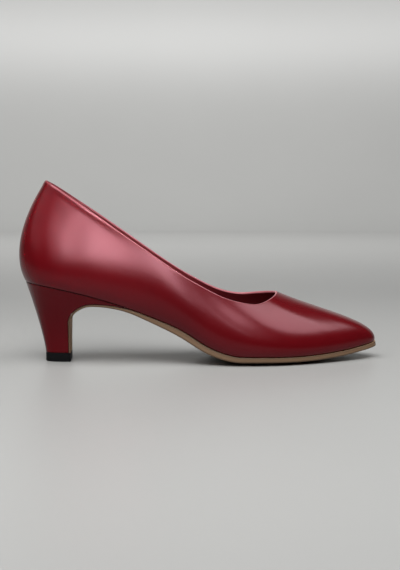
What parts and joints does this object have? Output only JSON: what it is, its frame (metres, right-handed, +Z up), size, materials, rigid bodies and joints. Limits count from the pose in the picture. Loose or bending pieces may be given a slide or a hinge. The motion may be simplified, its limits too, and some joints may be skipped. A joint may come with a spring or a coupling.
{
  "type": "kitten heel shoe",
  "caption": "Closed-toe leather pump for the right foot: hollow upper open at the collar, insole, leather sole with breast flap, low curved heel and rubber top piece.",
  "frame": {"origin": "on the floor under the middle of the shoe's box", "axes": "+X towards the toe, +Y towards the inner (medial) side of this right shoe, +Z up from the floor"},
  "size_m": [0.241, 0.0774, 0.1201],
  "materials": {
    "upper_leather": "smooth dark red calf with a soft satin shine",
    "lining_leather": "matt dark red lining kid",
    "sole_leather": "tan sole leather with a burnished edge",
    "heel_leather": "smooth dark red calf drawn over the heel block",
    "top_piece_rubber": "black rubber with a trimmed edge"
  },
  "bodies": {
    "root": {"upper": "upper_leather", "insole": "lining_leather", "outsole": "sole_leather", "heel": "heel_leather", "top_piece": "top_piece_rubber"}
  },
  "joints": []
}
